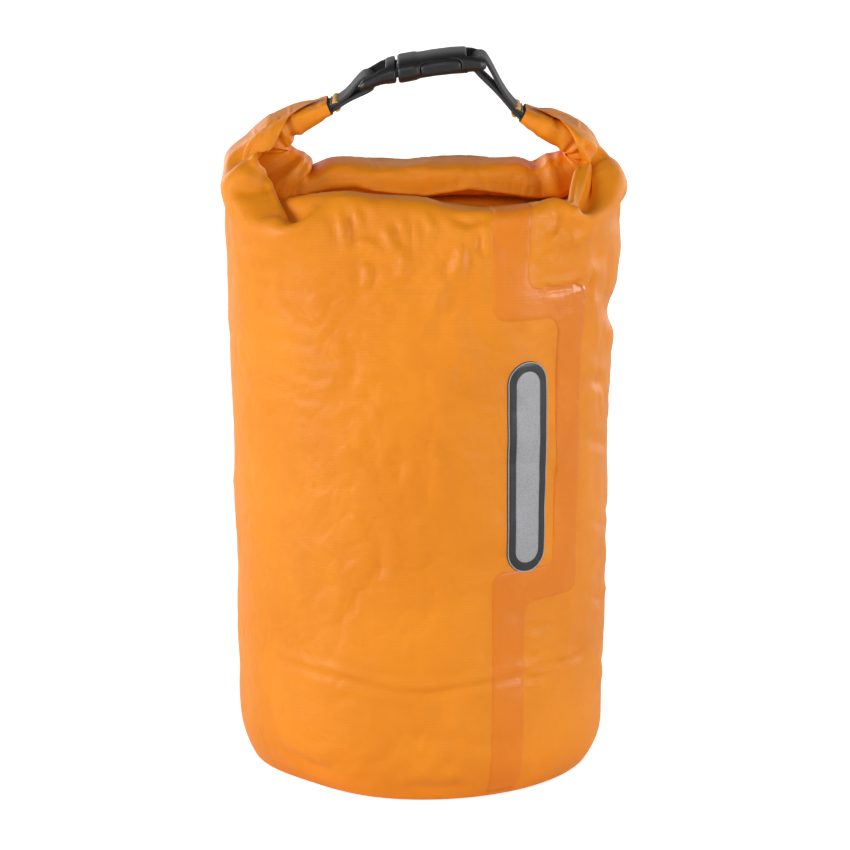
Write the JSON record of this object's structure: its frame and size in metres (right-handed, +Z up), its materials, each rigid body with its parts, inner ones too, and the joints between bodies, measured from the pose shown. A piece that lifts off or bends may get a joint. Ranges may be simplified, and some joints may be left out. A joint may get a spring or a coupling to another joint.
{
  "type": "dry bag",
  "caption": "Roll-top waterproof dry bag standing filled, rolled shut, with its side-release buckle closed into a carry loop.",
  "frame": {"origin": "centre of the flat base, on the ground", "axes": "+Z up along the bag's height; +X to the bag's right along the roll, towards the buckle's socket; -Y is the front, where the label is"},
  "size_m": [0.1332, 0.1256, 0.2425],
  "materials": {
    "coated_fabric": "coated ripstop nylon, satin",
    "base_fabric": "coated ripstop nylon, satin",
    "seam_fabric": "welded double layer of coated nylon",
    "label_film": "matt printed film",
    "reflective_film": "grey retroreflective film",
    "stiffener_plastic": "flexible polymer strip",
    "buckle_plastic": "moulded acetal, fine grain",
    "webbing": "woven nylon webbing",
    "tack_thread": "bonded nylon thread",
    "root_thread": "bonded nylon thread"
  },
  "bodies": {
    "bag": {"bag_wall": "coated_fabric", "base_panel": "base_fabric", "side_seam_overlap": "seam_fabric", "label_patch": "label_film", "label_reflector": "reflective_film", "stiffener_strip": "stiffener_plastic", "rolled_collar": "coated_fabric"},
    "left_end": {"left_roll_end": "coated_fabric", "left_webbing": "webbing", "left_bar_tack": "tack_thread", "left_root_stitching": "root_thread"},
    "right_end": {"right_roll_end": "coated_fabric", "right_webbing": "webbing", "right_bar_tack": "tack_thread", "right_root_stitching": "root_thread"},
    "socket": {"buckle_socket": "buckle_plastic"},
    "plug": {"buckle_plug": "buckle_plastic"},
    "latch_front": {"latch_arm_front": "buckle_plastic"},
    "latch_rear": {"latch_arm_rear": "buckle_plastic"}
  },
  "joints": [
    {"name": "left_end_spread", "type": "slide", "parent": "bag", "child": "left_end", "axis": [-0.9954, 0, -0.0958], "range_m": [0, 0.011], "stiffness_N_per_m": 60, "deforming": ["left_roll_end", "latch_arm_front", "latch_arm_rear"]},
    {"name": "right_end_spread", "type": "slide", "parent": "bag", "child": "right_end", "axis": [0.9954, 0, 0.0958], "range_m": [0, 0.011], "stiffness_N_per_m": 60, "deforming": ["right_roll_end", "stiffener_strip"]},
    {"name": "buckle_swing", "type": "hinge", "parent": "right_end", "child": "socket", "pos_m": [-0.00624, 0, 0.22246], "axis": [0.9954, 0, 0.0958], "range_deg": [-45, 45], "stiffness_Nm_per_rad": 0.01, "deforming": ["right_webbing"]},
    {"name": "plug_swing", "type": "hinge", "parent": "left_end", "child": "plug", "pos_m": [-0.00624, 0, 0.22246], "axis": [0.9954, 0, 0.0958], "range_deg": [-45, 45], "stiffness_Nm_per_rad": 0.01, "deforming": ["left_webbing"]},
    {"name": "latch_front_press", "type": "hinge", "parent": "plug", "child": "latch_front", "pos_m": [-0.0079, -0.0063, 0.23556], "axis": [-0.0958, 0, 0.9954], "range_deg": [0, 10], "stiffness_Nm_per_rad": 0.2},
    {"name": "latch_rear_press", "type": "hinge", "parent": "plug", "child": "latch_rear", "pos_m": [-0.0079, 0.0063, 0.23556], "axis": [0.0958, 0, -0.9954], "range_deg": [0, 10], "stiffness_Nm_per_rad": 0.2}
  ],
  "couplings": [
    {"joint": "right_end_spread", "follows": "left_end_spread", "ratio": 1},
    {"joint": "plug_swing", "follows": "buckle_swing", "ratio": 1}
  ]
}
